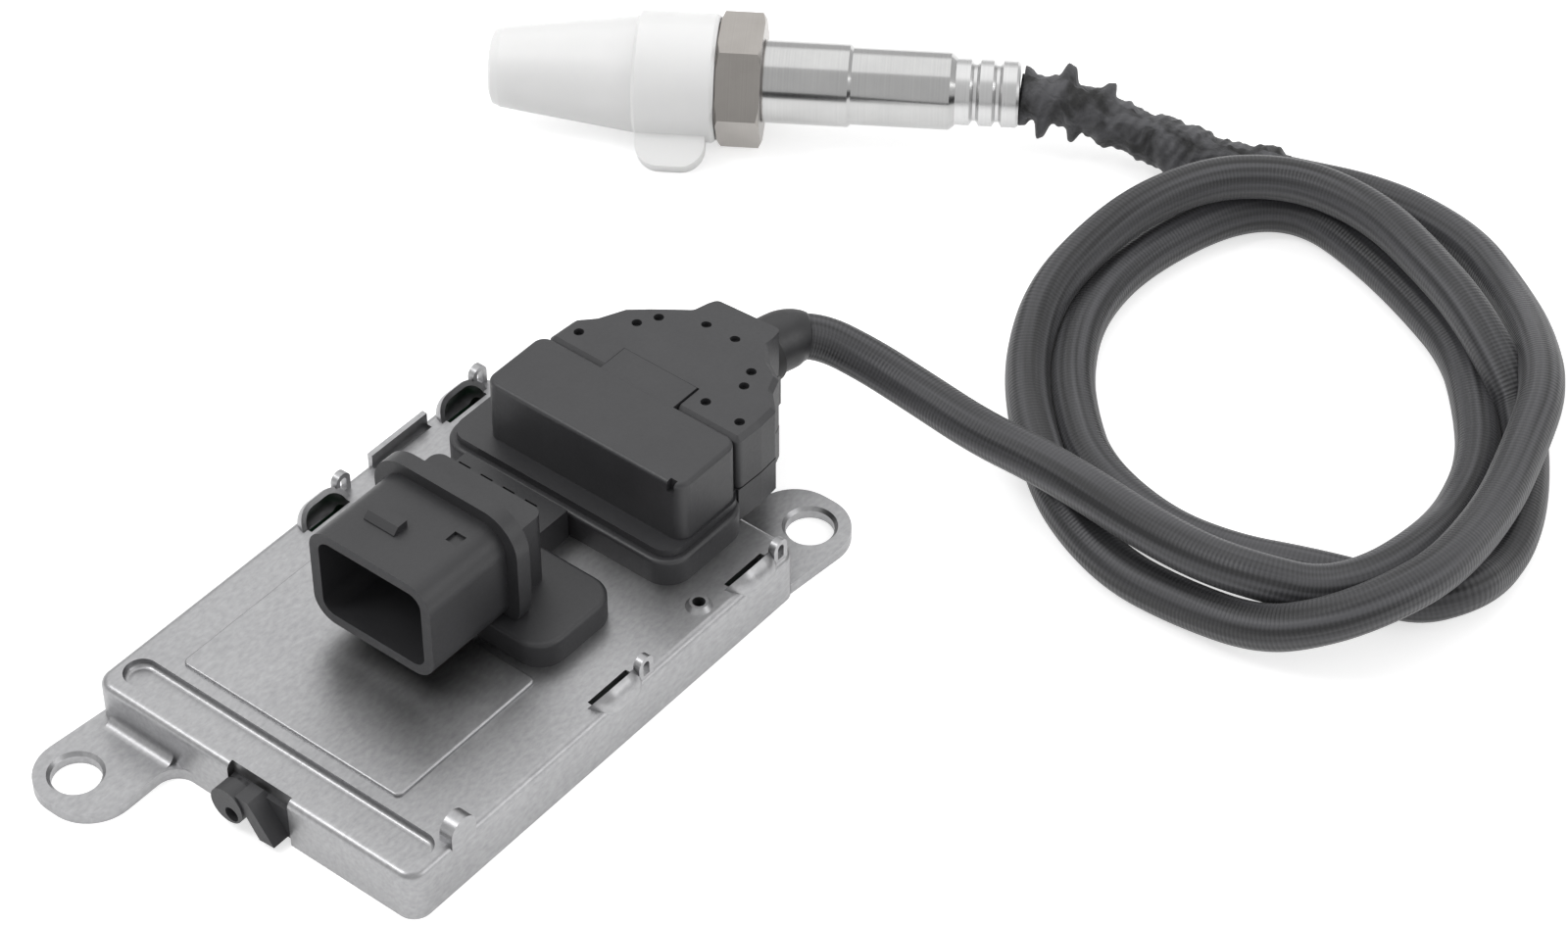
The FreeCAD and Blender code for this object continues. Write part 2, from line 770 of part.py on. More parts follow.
def edge_clip():
    """Black clip in the front notch: back plate, round lobe with an eye, and a slanting arm."""
    x0 = front + notch_depth
    back = box(x0 - clip_wall, x0, -notch_near + clip_gap, notch_far - clip_gap, clip_bottom, clip_top)
    lobe_start = Vector(x0 - clip_wall - clip_reach + 1.2, lobe_side, lobe_height)
    lobe = Part.makeCylinder(lobe_radius, front - seat_gap - lobe_start.x, lobe_start, Vector(1, 0, 0))
    neck = Part.makeCylinder(lobe_radius - 0.9, x0 - clip_wall / 2 - lobe_start.x, lobe_start, Vector(1, 0, 0))
    eye = Part.makeCylinder(eye_radius, clip_reach + 2, lobe_start + Vector(-1, -1.0, -1.3), Vector(1, 0, 0))
    outline = [(0.4, 8.2), (-2.4, 8.4), (-notch_near + 0.6, 1.6), (-notch_near + 3.8, 1.3)]
    corners = [Vector(x0 - clip_wall - clip_arm, y, z) for y, z in outline]
    arm = Part.Face(Part.makePolygon(corners + [corners[0]])).extrude(Vector(clip_arm + 0.5, 0, 0))
    clip = back.fuse([lobe, neck, arm])
    return clip.cut(eye).removeSplitter()


# Cable runs

def round_path(points):
    """Straight runs joined by tangent arcs, and the radii of those arcs."""
    corners = [Vector(*point) for point in points]
    edges = []
    radii = []
    start = corners[0]
    for index in range(1, len(corners) - 1):
        corner = corners[index]
        before = corners[index - 1] - corner
        after = corners[index + 1] - corner
        shorter = min(before.Length, after.Length)
        before.normalize()
        after.normalize()
        turn = math.pi - before.getAngle(after)
        radius = 0.45 * shorter / math.tan(turn / 2)
        cut = 0.45 * shorter
        first = corner + before * cut
        last = corner + after * cut
        middle_way = before + after
        middle_way.normalize()
        middle = corner + middle_way * (math.hypot(radius, cut) - radius)
        edges.append(Part.LineSegment(start, first).toShape())
        edges.append(Part.Arc(first, middle, last).toShape())
        radii.append(radius)
        start = last
    edges.append(Part.LineSegment(start, corners[-1]).toShape())
    return edges, radii


def tube(edges, radius, bore):
    """Round tube along tangent edges."""
    path = Part.Wire(edges)
    start = edges[0].Vertexes[0].Point
    way = edges[0].tangentAt(edges[0].FirstParameter)
    ring = Part.Wire([Part.Circle(start, way, radius).toShape()])
    outside = path.makePipeShell([ring], True, False)
    if not bore:
        return outside
    hole = Part.Wire([Part.Circle(start, way, bore).toShape()])
    return outside.cut(path.makePipeShell([hole], True, False))


module_lead_route = [
    (nose_x - 8.0, -nose_side, cable_height), (nose_x + 4.0, -nose_side, cable_height),
    (nose_x + 10.0, -nose_side - 3.0, cable_height - 1.0), (88.2, -15.5, 14.2), (89.6, -27.5, 11.2), (87.8, -41.0, 11.2), (86.9, -54.0, 12.4), (87.6, -65.0, 12.4)]

lead_end = (probe_place[0] + ferrule_back * math.cos(math.radians(probe_turn)),
            probe_place[1] + ferrule_back * math.sin(math.radians(probe_turn)), probe_height)
lead_start = (lead_end[0] + lead_straight * math.cos(math.radians(probe_turn)),
              lead_end[1] + lead_straight * math.sin(math.radians(probe_turn)), probe_height)
probe_lead_route = [(187.5, -46.0, 5.4), (183.6, -35.0, 5.4), (180.3, -25.0, 5.6), (176.2, -15.5, 7.2),
                    (173.2, -7.0, 10.2), lead_start, lead_end]


def coil():
    """Outer shape of the loose coil: a rounded ring that lies on the surface."""
    blocks = []
    for points in (coil_outer, coil_inner):
        loop = Part.BSplineCurve()
        loop.interpolate([Vector(x, y, 0) for x, y in points], PeriodicFlag=True)
        blocks.append(Part.Face(Part.Wire([loop.toShape()])).extrude(Vector(0, 0, coil_height)))
    ring = blocks[0].cut(blocks[1])
    return ring.makeFillet(coil_edge, edges_at_height(ring, coil_height) + edges_at_height(ring, 0))


# Probe: built along X with the nut's middle at the origin, then laid in its place

def lay_down(shape):
    laid = shape.copy()
    laid.rotate(Vector(0, 0, 0), Vector(0, 0, 1), probe_turn)
    laid.translate(Vector(probe_place[0], probe_place[1], probe_height))
    return laid


def union_nut():
    points = []
    for index in range(6):
        angle = math.radians(60 * index)
        points.append(Vector(-nut_half_length, nut_flats / math.sqrt(3) * math.cos(angle),
                             nut_flats / math.sqrt(3) * math.sin(angle)))
    hexagon = Part.Face(Part.makePolygon(points + [points[0]])).extrude(Vector(2 * nut_half_length, 0, 0))
    corner = nut_flats / math.sqrt(3)
    bevelled = turned([(-nut_half_length, 0), (-nut_half_length, corner - nut_bevel), (-nut_half_length + 0.6, corner),
                       (nut_half_length - 0.6, corner), (nut_half_length, corner - nut_bevel), (nut_half_length, 0)])
    shank = turned([(-nut_half_length - thread_length, 0), (-nut_half_length - thread_length, thread_radius - 1.0),
                    (-nut_half_length - thread_length + 1.0, thread_radius), (-nut_half_length + 0.5, thread_radius),
                    (-nut_half_length + 0.5, 0)])
    nut = hexagon.common(bevelled).fuse(shank)
    return nut.cut(rod(-40, 40, body_radius + running_gap)).removeSplitter()


def probe_body():
    back = body_front + collar_length
    profile = [(body_front, body_bore), (body_front, collar_radius - 1.4), (body_front + 1.4, collar_radius),
               (back, collar_radius), (back, body_radius), (body_back, body_radius), (body_back, body_bore)]
    return turned(profile)


def protection_tube(x0, radius, hole_radius, hole_count, hole_place):
    profile = [(x0, 0), (x0, radius - 0.8), (x0 + 0.8, radius), (body_front + 3.0, radius),
               (body_front + 3.0, radius - guard_wall), (x0 + guard_wall + 0.6, radius - guard_wall),
               (x0 + guard_wall, radius - guard_wall - 0.6), (x0 + guard_wall, 0)]
    skin = turned(profile)
    holes = []
    for index in range(hole_count):
        angle = 2 * math.pi * index / hole_count
        holes.append(Part.makeCylinder(hole_radius, radius + 1, Vector(x0 + hole_place, 0, 0),
                                       Vector(0, math.cos(angle), math.sin(angle))))
    return skin.cut(holes)


def outer_protection_tube():
    return protection_tube(guard_front, guard_radius, guard_hole_radius, guard_hole_count, 4.5)


def inner_protection_tube():
    return protection_tube(liner_front, liner_radius, guard_hole_radius, 4, 9.0)


def element_block(gap):
    return box(element_front, element_back, -element_width / 2 - gap, element_width / 2 + gap,
               -element_thickness / 2 - gap, element_thickness / 2 + gap)


def bored_slug(x0, x1, radius):
    return rod(x0, x1, radius).cut(element_block(0.05))


def contact_springs():
    springs = []
    for level in (-1, 1):
        for y in (-1.1, 1.1):
            z0 = level * (element_thickness / 2 + 0.05)
            z1 = z0 + level * spring_thickness
            springs.append(box(holder_front + 1, holder_back - 1, y - spring_width / 2 + 0.1, y + spring_width / 2 - 0.1,
                               min(z0, z1), max(z0, z1)))
    return springs


def contact_holder():
    return bored_slug(holder_front, holder_back, holder_radius).cut(contact_springs())


def rear_sleeve():
    neck = ferrule_radius
    profile = [(sleeve_front, body_radius + 0.05), (sleeve_front, sleeve_radius), (sleeve_step, sleeve_radius),
               (sleeve_step + 0.6, sleeve_rear_radius), (sleeve_back - 1.0, sleeve_rear_radius),
               (sleeve_back, sleeve_rear_radius - 0.8), (sleeve_back, neck), (sleeve_back - 1.6, neck),
               (sleeve_back - 1.8, sleeve_rear_radius - sleeve_wall), (sleeve_step + 0.3, sleeve_rear_radius - sleeve_wall),
               (body_back + 0.5, sleeve_rear_radius - sleeve_wall), (body_back + 0.5, body_radius + 0.05)]
    return turned(profile)


def crimp_ferrule():
    x0 = sleeve_back - ferrule_neck
    outer = [(x0, ferrule_radius)]
    inner = []
    wall = ferrule_wall
    for place in crimp_places:
        outer += [(place - crimp_half_width, ferrule_radius), (place - 0.3, ferrule_radius - crimp_depth),
                  (place + 0.3, ferrule_radius - crimp_depth), (place + crimp_half_width, ferrule_radius)]
    outer += [(ferrule_back - 0.5, ferrule_radius), (ferrule_back, ferrule_radius - 0.4)]
    inner_radius = ferrule_radius - crimp_depth - wall
    inner += [(ferrule_back, inner_radius), (x0, inner_radius)]
    return turned(outer + inner)


def wire_grommet():
    inner_radius = ferrule_radius - crimp_depth - ferrule_wall
    return rod(sleeve_back - ferrule_neck, ferrule_back, inner_radius)


def protective_cap():
    outer = [(cap_front, 0), (cap_front, cap_tip_radius - cap_tip_round), (cap_front + 0.6, cap_tip_radius - 0.6),
             (cap_front + cap_tip_round, cap_tip_radius), (cap_shoulder, cap_shoulder_radius),
             (cap_shoulder + 0.7, cap_radius), (cap_back - 0.7, cap_radius), (cap_back, cap_radius - 0.5),
             (cap_back, thread_radius + cap_gap), (-nut_half_length - thread_length - 0.5, thread_radius + cap_gap),
             (-nut_half_length - thread_length - 0.5, collar_radius + 0.6), (body_front - 0.5, collar_radius + 0.6),
             (body_front - 0.5, cap_shoulder_radius - cap_wall - 0.7), (cap_front + cap_wall + 2.0, cap_tip_radius - cap_wall),
             (cap_front + cap_wall, cap_tip_radius - cap_wall - 1.5), (cap_front + cap_wall, 0)]
    cap = turned(outer)
    inside = cap_radius - 1.0
    wing = box(wing_front, wing_back, -wing_thickness / 2, wing_thickness / 2, inside, wing_reach)
    corners = [edge for edge in wing.Edges if abs(edge.BoundBox.ZMin - wing_reach) < 1e-6
               and edge.BoundBox.XLength < 1e-6]
    wing = wing.makeFillet(wing_round, corners)
    wing.rotate(Vector(0, 0, 0), Vector(1, 0, 0), 90 + wing_angle)
    return cap.fuse(wing).removeSplitter()


def build():
    cover = housing_cover()
    save(cover, "housing_cover")
    save(base_plate(), "base_plate")
    save(circuit_board(), "circuit_board")
    save(controller_chip(), "controller_chip")
    save(power_chips(), "power_chips")
    save(heat_pads(), "heat_pads")
    save(capacitors(), "capacitors")
    save(choke(), "choke")
    save(connector_header(cover), "connector_header")
    save(header_seal(cover), "header_seal")
    save(connector_pins(), "connector_pins")
    save(cable_hood(), "cable_hood")
    save(hood_terminals(), "hood_terminals")
    save(clamp_cover(), "clamp_cover")
    save(cable_grommet(), "cable_grommet")
    save(edge_clip(), "edge_clip")

    ring = coil()
    lead_edges, lead_radii = round_path(module_lead_route)
    tail_edges, tail_radii = round_path(probe_lead_route)
    print("module lead radii", ["%.1f" % radius for radius in lead_radii])
    print("probe lead radii", ["%.1f" % radius for radius in tail_radii])
    save(ring, "cable_coil")
    save(tube(lead_edges, cable_radius, 0).cut(ring), "module_lead")
    save(tube(tail_edges, cable_radius, 0).cut(ring), "probe_lead")
    nose_block = box(front, nose_x + grommet_proud, -side, side, 0, 2 * cable_height)
    save(tube(lead_edges[0:3], boot_radius, cable_radius + boot_gap).cut(nose_block), "exit_boot")
    sleeve = tube(tail_edges, lead_sleeve_radius, cable_radius + boot_gap).cut(ring)
    save(sleeve.cut(lay_down(rod(0, ferrule_back + seat_gap, 2 * cap_radius))), "lead_sleeve")

    save(lay_down(union_nut()), "union_nut")
    save(lay_down(probe_body()), "probe_body")
    save(lay_down(outer_protection_tube()), "outer_protection_tube")
    save(lay_down(inner_protection_tube()), "inner_protection_tube")
    save(lay_down(element_block(0)), "sensing_element")
    save(lay_down(bored_slug(bush_front, packing_front, body_bore)), "front_bush")
    save(lay_down(bored_slug(packing_front, packing_back, body_bore)), "talc_packing")
    save(lay_down(bored_slug(packing_back, bush_back, body_bore)), "rear_bush")
    save(lay_down(contact_holder()), "contact_holder")
    save(lay_down(Part.Compound(contact_springs())), "contact_springs")
    save(lay_down(rear_sleeve()), "rear_sleeve")
    save(lay_down(crimp_ferrule()), "crimp_ferrule")
    save(lay_down(wire_grommet()), "wire_grommet")
    save(lay_down(protective_cap()), "protective_cap")


build()
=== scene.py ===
import bpy
import numpy as np
from mathutils import Matrix, Vector


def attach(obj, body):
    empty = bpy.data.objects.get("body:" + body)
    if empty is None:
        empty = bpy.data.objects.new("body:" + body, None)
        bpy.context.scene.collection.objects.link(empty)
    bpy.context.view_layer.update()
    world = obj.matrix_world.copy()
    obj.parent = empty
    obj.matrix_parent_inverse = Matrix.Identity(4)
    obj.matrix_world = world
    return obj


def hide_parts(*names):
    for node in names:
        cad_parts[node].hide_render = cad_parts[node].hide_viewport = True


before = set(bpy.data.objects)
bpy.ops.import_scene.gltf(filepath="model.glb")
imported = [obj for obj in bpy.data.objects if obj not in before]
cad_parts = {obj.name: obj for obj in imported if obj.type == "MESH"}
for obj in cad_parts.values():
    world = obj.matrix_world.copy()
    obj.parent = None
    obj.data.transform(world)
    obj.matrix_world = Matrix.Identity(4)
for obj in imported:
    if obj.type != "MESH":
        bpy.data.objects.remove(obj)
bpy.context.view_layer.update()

mm = 0.001
print("frame loaded:", len(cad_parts), "nodes")


def hexLinear(text):
    # sRGB hex to linear light: c/12.92 below 0.04045, else ((c + 0.055)/1.055)^2.4; opaque
    values = [int(text[i:i + 2], 16) / 255 for i in (1, 3, 5)]
    return [c / 12.92 if c <= 0.04045 else ((c + 0.055) / 1.055) ** 2.4 for c in values] + [1.0]


def addNode(tree, kind, settings=None, links=None):
    # settings: attributes, or input sockets by name or number; links: input socket -> output socket
    node = tree.nodes.new(kind)
    for key, value in (settings or {}).items():
        if isinstance(key, str) and hasattr(node, key) and key not in node.inputs:
            setattr(node, key, value)
        else:
            node.inputs[key].default_value = value
    for key, source in (links or {}).items():
        tree.links.new(source, node.inputs[key])
    return node


# Camera: fitted to the case's straight edges; place and nearest in metres, lens and sensor in mm
view = {"place": (-0.3633, -0.3619, 0.5210), "right": (0.6265, -0.7794, 0.0),
        "up": (0.5327, 0.4282, 0.7299), "back": (-0.5689, -0.4573, 0.6835),
        "lens": 101.3, "sensorWidth": 36, "nearest": 0.01}
camera = bpy.data.objects.new("camera", bpy.data.cameras.new("camera"))
bpy.context.scene.collection.objects.link(camera)
turn = Matrix((view["right"], view["up"], view["back"])).transposed().to_4x4()
camera.matrix_world = Matrix.Translation(Vector(view["place"])) @ turn
camera.data.lens = view["lens"]
camera.data.sensor_width = view["sensorWidth"]
camera.data.clip_start = view["nearest"]
bpy.context.scene.camera = camera
bpy.context.scene.view_settings.view_transform = "Standard"
print("camera made")


def distancesAlong(path):
    # running sum of the steps' lengths, 0 at the first point
    steps = np.linalg.norm(np.diff(path, axis=0), axis=1)
    return np.concatenate([[0], np.cumsum(steps)])


leastHeight = 0.1  # mm: what would sink into the surface is pressed flat, this far above it


def tubeRings(path, radius, sides, ripple):
    # ring around each path point: p + r (cos a * n + sin a * b), n the upward side square to the
    # path, b square to both, and r the radius plus the ripple at that distance and angle
    along = np.gradient(path, axis=0)
    along /= np.linalg.norm(along, axis=1)[:, None]
    normals = np.array([0.0, 0.0, 1.0]) - along * along[:, 2:]
    normals /= np.linalg.norm(normals, axis=1)[:, None]
    across = np.cross(along, normals)
    angle = np.linspace(0, 2 * np.pi, sides, endpoint=False)
    radii = np.full((len(path), sides), float(radius))
    if ripple:
        radii += ripple(distancesAlong(path)[:, None], angle[None, :])
    rings = path[:, None, :] + radii[:, :, None] * (np.cos(angle)[None, :, None] * normals[:, None, :]
                                                    + np.sin(angle)[None, :, None] * across[:, None, :])
    rings[:, :, 2] = np.maximum(rings[:, :, 2], leastHeight * mm)
    return rings


def tubeMesh(name, path, radius, sides, ripple=None):
    # the rings joined by four-sided faces, with a fan of triangles from a middle point at each end;
    # UV map "along": distance along the path in metres, and share of the way round
    rings = tubeRings(path, radius, sides, ripple)
    index = np.arange(len(path) * sides).reshape(len(path), sides)
    turned = np.roll(index, -1, 1)
    quads = np.stack([index[:-1], turned[:-1], turned[1:], index[1:]], -1).reshape(-1, 4)
    points = np.concatenate([rings.reshape(-1, 3), path[:1], path[-1:]])
    startMiddle = np.full(sides, len(points) - 2)
    endMiddle = np.full(sides, len(points) - 1)
    caps = np.concatenate([np.stack([startMiddle, turned[0], index[0]], -1),
                           np.stack([endMiddle, index[-1], turned[-1]], -1)])
    mesh = bpy.data.meshes.new(name)
    mesh.from_pydata(points.tolist(), [], quads.tolist() + caps.tolist())

    length = distancesAlong(path)
    share = np.arange(sides + 1) / sides
    corners = np.empty((len(path) - 1, sides, 4, 2))
    corners[:, :, :2, 0] = length[:-1, None, None]
    corners[:, :, 2:, 0] = length[1:, None, None]
    corners[:, :, (0, 3), 1] = share[:-1, None]
    corners[:, :, (1, 2), 1] = share[1:, None]
    capCorners = np.zeros(caps.size * 2)
    uv = mesh.uv_layers.new(name="along")
    uv.data.foreach_set("uv", np.concatenate([corners.ravel(), capCorners]).astype(np.float32))
    mesh.polygons.foreach_set("use_smooth", np.ones(len(mesh.polygons), bool))
    mesh.update()
    piece = bpy.data.objects.new(name, mesh)
    bpy.context.scene.collection.objects.link(piece)
    return piece


def splinePoints(name, points, order, resolution):
    # centreline in metres, read from one open NURBS spline with these control points in mm
    curve = bpy.data.curves.new(name, "CURVE")
    curve.dimensions = "3D"
    curve.resolution_u = resolution
    spline = curve.splines.new("NURBS")
    spline.points.add(len(points) - 1)
    weighted = np.column_stack([np.asarray(points) * mm, np.ones(len(points))])
    spline.points.foreach_set("co", weighted.ravel())
    spline.order_u = order
    spline.use_endpoint_u = True
    helper = bpy.data.objects.new(name, curve)
    bpy.context.scene.collection.objects.link(helper)
    bpy.context.view_layer.update()
    read = bpy.data.meshes.new_from_object(helper.evaluated_get(bpy.context.evaluated_depsgraph_get()))
    line = np.empty(len(read.vertices) * 3)
    read.vertices.foreach_get("co", line)
    line = line.reshape(-1, 3)
    bpy.data.objects.remove(helper)
    bpy.data.meshes.remove(read)
    apart = np.linalg.norm(np.diff(line, axis=0), axis=1) > 0.001 * mm  # no doubled points
    return line[np.concatenate([[True], apart])]


# Cable: out of the hood, more than two loose turns on two layers, then away to the probe.
# Its points, in mm, follow the cable in the photo through the camera; those of the turns were then
# eased apart so that strands that cross press into each other less
cable = {"diameter": 8.0, "sides": 28, "order": 3, "resolution": 16}
cablePoints = (
    (71.5, -4.5, 18), (79.5, -5, 18), (85.5, -9, 16.5), (88.5, -17, 13.5), (89.6, -27.5, 11),
    (87.6, -42.3, 11.5), (87.2, -54.9, 12.5), (86.5, -66.6, 12.5), (85.2, -79, 12.5), (85.3, -90.5, 12.5),
    (87.4, -100.4, 12.7), (92.4, -107.9, 10.5), (98.8, -114.3, 12.3), (111.2, -116.5, 11.7),
    (127.8, -113, 4.3), (140.6, -109.6, 4.7), (152.5, -101.4, 4.1), (163.2, -91.6, 4.1), (170.2, -77.9, 4.1),
    (175.4, -64.6, 4.1), (178.7, -51, 4.1), (175.2, -41.8, 4.1), (165.2, -35.6, 4.1), (146.4, -31.8, 4.2),
    (130.5, -33.6, 4.1), (117.1, -40.3, 4.3), (107.8, -48, 4.1), (98.7, -58.4, 4.1), (93.7, -75.5, 4.5),
    (96, -89, 4.1), (99, -101.6, 6.3), (104.3, -110.1, 4.1), (106.2, -119.2, 4.1), (111.3, -125.4, 7.2),
    (120.8, -125.3, 4.1), (130.4, -123.7, 4.5), (142.9, -117.8, 4.1), (154.8, -109.5, 4.6),
    (158.7, -102.6, 9.5), (165.5, -90.7, 12.5), (171.5, -79, 12.4), (177, -65.6, 12.5), (178, -53, 12.5),
    (174.8, -43.2, 12.5), (167, -34.6, 12.5), (154.5, -29.4, 12.3), (141.8, -27.2, 10.6),
    (127.3, -27.6, 8.5), (116.1, -31.7, 4.6), (105.2, -39.6, 4.2), (95.7, -49.5, 4.3), (87.3, -60.3, 4.1),
    (81.2, -75.3, 4.3), (81.6, -88.9, 4.1), (81.8, -104, 7.1), (85.8, -113.4, 11.7), (93.7, -119.8, 14.5),
    (105.9, -123.7, 15.2), (125.2, -121.4, 12.4), (140.2, -117.4, 12.6), (155.3, -112.6, 13.6),
    (170.4, -101.1, 9), (182.4, -88.8, 4.1), (188.8, -77.4, 4.4), (191, -64.1, 4.1), (189.6, -53.5, 4.1),
    (185.9, -44.1, 4.3), (182, -35.9, 5), (178, -28, 5.7), (176.2, -17.9, 6.6), (173.4, -9.6, 8.4),
    (170, -0.5, 11.4), (165.4, 7.1, 12))
cableLine = splinePoints("cableRoute", cablePoints, cable["order"], cable["resolution"])
cableLength = float(distancesAlong(cableLine)[-1])
print("cable length %.3f m in %d rings" % (cableLength, len(cableLine)))
cablePiece = tubeMesh("cable", cableLine, cable["diameter"] / 2 * mm, cable["sides"])
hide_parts("module_lead", "cable_coil", "probe_lead")
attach(cablePiece, "sensor")


def stretchOfCable(start, end, step):
    # points every step between two distances along the cable, all in metres
    places = np.arange(start, end, step)
    along = distancesAlong(cableLine)
    return np.column_stack([np.interp(places, along, cableLine[:, i]) for i in range(3)])


# Boot: moulded collar round the cable where it leaves the hood; sizes in mm, places along the cable
boot = {"radius": 5.3, "start": 3.1, "end": 12.5, "step": 0.4, "sides": 40, "taper": 5.0, "lip": 0.2}


def bootRipple(length, angle):
    # over the last millimetres the radius falls by drop * t^2, t from 0 to 1, to a thin lip
    left = (boot["end"] - boot["start"]) - length / mm
    drop = boot["radius"] - cable["diameter"] / 2 - boot["lip"]
    return -mm * drop * np.clip(1 - left / boot["taper"], 0, 1) ** 2


bootPiece = tubeMesh("exitBoot", stretchOfCable(boot["start"] * mm, boot["end"] * mm, boot["step"] * mm),
                     boot["radius"] * mm, boot["sides"], bootRipple)
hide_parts("exit_boot")
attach(bootPiece, "sensor")

# Sleeve: crumpled heat textile on the cable's far end; sizes in mm, places back from the ferrule
sleeve = {
    "length": 52.0, "step": 0.3, "sides": 72, "end": 0.2, "leastWall": 0.1,
    # tied ends, a narrow waist and loose stretches
    "places": (0, 3, 6, 10, 13, 18, 21, 24, 28, 33, 37, 42, 47, 50, 52),
    "radii": (4.5, 4.2, 4.5, 4.4, 4.3, 4.7, 4.3, 4.3, 4.9, 5.2, 4.8, 4.4, 5.1, 5.0, 4.2),
    # each fold: height, waves in radians per mm, turns round, sway, start in radians
    "folds": ((0.25, 0.9, 0, 2, 0.0), (0.15, 1.9, 3, 0, 0.0), (0.125, 3.1, -5, 0, 0.7)),
    # each lump: place, angle in radians, height
    "lumps": ((1.2, 0.6, 1.0), (1.0, 3.9, 1.3), (5.2, 3.9, 2.8), (8.2, 0.75, 3.0), (12.0, 3.7, 2.0),
              (15.2, 0.8, 2.2), (3.5, 5.7, 1.2), (10.4, 5.3, 1.4)),
    "lumpWidth": 1.3, "lumpNarrowness": 5}


def sleeveRipple(length, angle):
    # set radius + folds h sin(w x + n a + s sin(a + 1) + start) + flat-topped lumps
    # h exp(-((x - place) / width)^4 + k (cos(a - turn) - 1)), and never thinner than the cable
    back = sleeve["length"] - length / mm
    radius = np.interp(back, sleeve["places"], sleeve["radii"])
    folds = sum(height * np.sin(back * waves + turns * angle + sway * np.sin(angle + 1) + start)
                for height, waves, turns, sway, start in sleeve["folds"])
    lumps = sum(height * np.exp(-((back - place) / sleeve["lumpWidth"]) ** 4
                                + sleeve["lumpNarrowness"] * (np.cos(angle - side) - 1))
                for place, side, height in sleeve["lumps"])
    return mm * np.maximum(radius + folds + lumps, cable["diameter"] / 2 + sleeve["leastWall"])


sleevePath = stretchOfCable(cableLength - sleeve["length"] * mm, cableLength - sleeve["end"] * mm,
                            sleeve["step"] * mm)
sleevePiece = tubeMesh("leadSleeve", sleevePath, 0.0, sleeve["sides"], sleeveRipple)
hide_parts("lead_sleeve")
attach(sleevePiece, "sensor")

print("cable pieces made")


# Materials
def newMaterial(name, settings):
    # a material with these values on its shader
    material = bpy.data.materials.new(name)
    material.use_nodes = True
    tree = material.node_tree
    shader = tree.nodes["Principled BSDF"]
    for key, value in settings.items():
        shader.inputs[key].default_value = value
    return material, tree, shader


def finishShader(tree, shader, tone, colours, grain=None, roughness=None, height=None, relief=None):
    # the tone from 0 to 1 picks between the darker and the lighter colour, and the grain between the
    # two limits of the roughness; relief is the strength, and the depth in mm, of what height raises
    mixed = addNode(tree, "ShaderNodeMix", {"data_type": "RGBA", 6: hexLinear(colours[0]),
                                            7: hexLinear(colours[1])}, {0: tone})
    tree.links.new(mixed.outputs[2], shader.inputs["Base Color"])
    if grain:
        spread = addNode(tree, "ShaderNodeMapRange", {"To Min": roughness[0], "To Max": roughness[1]},
                         {"Value": grain})
        tree.links.new(spread.outputs["Result"], shader.inputs["Roughness"])
    if height:
        bump = addNode(tree, "ShaderNodeBump", {"Strength": relief[0], "Distance": relief[1] * mm},
                       {"Height": height})
        tree.links.new(bump.outputs["Normal"], shader.inputs["Normal"])


def pressedAluminium():
    # mill-finish sheet, pressed: even light grey with a faint rolling grain and slight cloudiness;
    # grain (along X, Y and Z) and clouds in mm, the grain as coarse as it needs to show
    sheet = {"grain": (1.43, 0.77, 0.77), "cloud": 11.1, "cloudShare": 0.5, "darken": 0.25}
    material, tree, shader = newMaterial("pressedAluminium", {"Metallic": 1.0})
    coords = addNode(tree, "ShaderNodeTexCoord").outputs["Object"]
    grain = addNode(tree, "ShaderNodeMapping", {"Scale": [1 / (size * mm) for size in sheet["grain"]]},
                    {"Vector": coords})
    lines = addNode(tree, "ShaderNodeTexNoise", {"Scale": 1.0, "Detail": 3.0, "Roughness": 0.6},
                    {"Vector": grain.outputs["Vector"]}).outputs["Fac"]
    cloud = addNode(tree, "ShaderNodeTexNoise", {"Scale": 1 / (sheet["cloud"] * mm), "Detail": 4.0},
                    {"Vector": coords}).outputs["Fac"]
    darker = addNode(tree, "ShaderNodeMath", {"operation": "SUBTRACT", 1: sheet["darken"]}, {0: lines})
    tone = addNode(tree, "ShaderNodeMath", {"operation": "MULTIPLY_ADD", 1: sheet["cloudShare"]},
                   {0: cloud, 2: darker.outputs["Value"]})
    finishShader(tree, shader, tone.outputs["Value"], ("#8c8c8e", "#b3b3b4"), grain=cloud,
                 roughness=(0.32, 0.45), height=lines, relief=(0.04, 0.1))
    return material


def mouldedPlastic(name, dark, light, roughness):
    # glass-filled nylon, moulded: dark with a fine spark-eroded grain that breaks up the shine;
    # sizes in mm, the grit as coarse as it needs to show
    mould = {"grit": 0.6, "cloud": 8.33, "uneven": 0.08}
    material, tree, shader = newMaterial(name, {"IOR": 1.53})
    coords = addNode(tree, "ShaderNodeTexCoord").outputs["Object"]
    grit = addNode(tree, "ShaderNodeTexNoise", {"Scale": 1 / (mould["grit"] * mm), "Detail": 2.0},
                   {"Vector": coords}).outputs["Fac"]
    cloud = addNode(tree, "ShaderNodeTexNoise", {"Scale": 1 / (mould["cloud"] * mm), "Detail": 3.0},
                    {"Vector": coords}).outputs["Fac"]
    limits = (roughness - mould["uneven"], roughness + mould["uneven"])
    finishShader(tree, shader, cloud, (dark, light), grain=grit, roughness=limits, height=grit,
                 relief=(0.25, 0.08))
    return material


